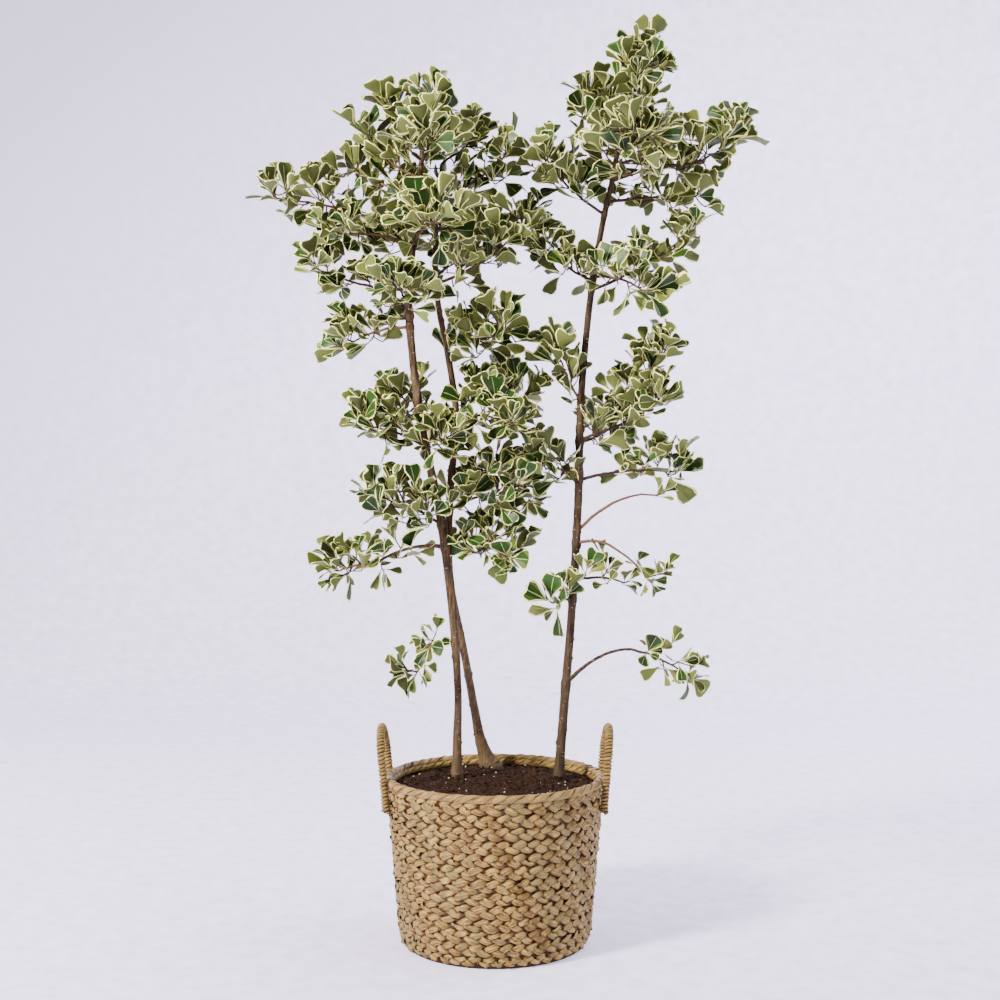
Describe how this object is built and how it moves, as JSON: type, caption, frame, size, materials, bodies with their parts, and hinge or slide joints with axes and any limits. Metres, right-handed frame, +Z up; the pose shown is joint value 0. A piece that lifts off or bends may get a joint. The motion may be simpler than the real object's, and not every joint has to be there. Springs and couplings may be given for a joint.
{
  "type": "potted fig tree",
  "caption": "Potted small-leaved fig with slim stems and open sprays of variegated triangular leaves, in a plaited seagrass basket with rope handles.",
  "frame": {"origin": "centre of the basket's flat underside", "axes": "+Z up the plant, -Y toward the viewer of the picture, +X to their right, through the right handle"},
  "size_m": [0.9218, 0.4664, 1.657],
  "materials": {
    "bark": "dull grey-brown bark with paler scars",
    "leaves": "satin leaf, dark green middle, sage zone and cream margin",
    "seagrass": "dull plaited seagrass in straw and ochre",
    "soil": "matt dark potting mix with white grains"
  },
  "bodies": {
    "root": {"basket": "seagrass", "bough_left_far": "bark", "bough_left_low": "bark", "bough_right_arch": "bark", "bough_right_far": "bark", "handle_left": "seagrass", "handle_right": "seagrass", "leaves_left_back": "leaves", "leaves_left_back_high": "leaves", "leaves_left_centre": "leaves", "leaves_left_far": "leaves", "leaves_left_front": "leaves", "leaves_left_front_high": "leaves", "leaves_left_front_low": "leaves", "leaves_left_high": "leaves", "leaves_left_low": "leaves", "leaves_left_low_upper": "leaves", "leaves_left_lower": "leaves", "leaves_left_mid": "leaves", "leaves_left_mid_upper": "leaves", "leaves_left_out": "leaves", "leaves_left_peak": "leaves", "leaves_left_sprig": "leaves", "leaves_left_top": "leaves", "leaves_left_tuft": "leaves", "leaves_middle_back": "leaves", "leaves_middle_centre": "leaves", "leaves_middle_centre_low": "leaves", "leaves_middle_droop": "leaves", "leaves_middle_front": "leaves", "leaves_middle_high": "leaves", "leaves_middle_low": "leaves", "leaves_middle_right": "leaves", "leaves_middle_top": "leaves", "leaves_middle_upper": "leaves", "leaves_right_arch": "leaves", "leaves_right_back": "leaves", "leaves_right_centre": "leaves", "leaves_right_droop": "leaves", "leaves_right_far": "leaves", "leaves_right_far_low": "leaves", "leaves_right_high_back": "leaves", "leaves_right_high_front": "leaves", "leaves_right_high_left": "leaves", "leaves_right_inner": "leaves", "leaves_right_left_low": "leaves", "leaves_right_left_mid": "leaves", "leaves_right_low_left": "leaves", "leaves_right_low_spray": "leaves", "leaves_right_mid_low": "leaves", "leaves_right_mid_out": "leaves", "leaves_right_out_low": "leaves", "leaves_right_out_sprig": "leaves", "leaves_right_top": "leaves", "leaves_right_top_left": "leaves", "leaves_right_upper_left": "leaves", "soil": "soil", "stem_left": "bark", "stem_middle": "bark", "stem_right": "bark"}
  },
  "joints": []
}
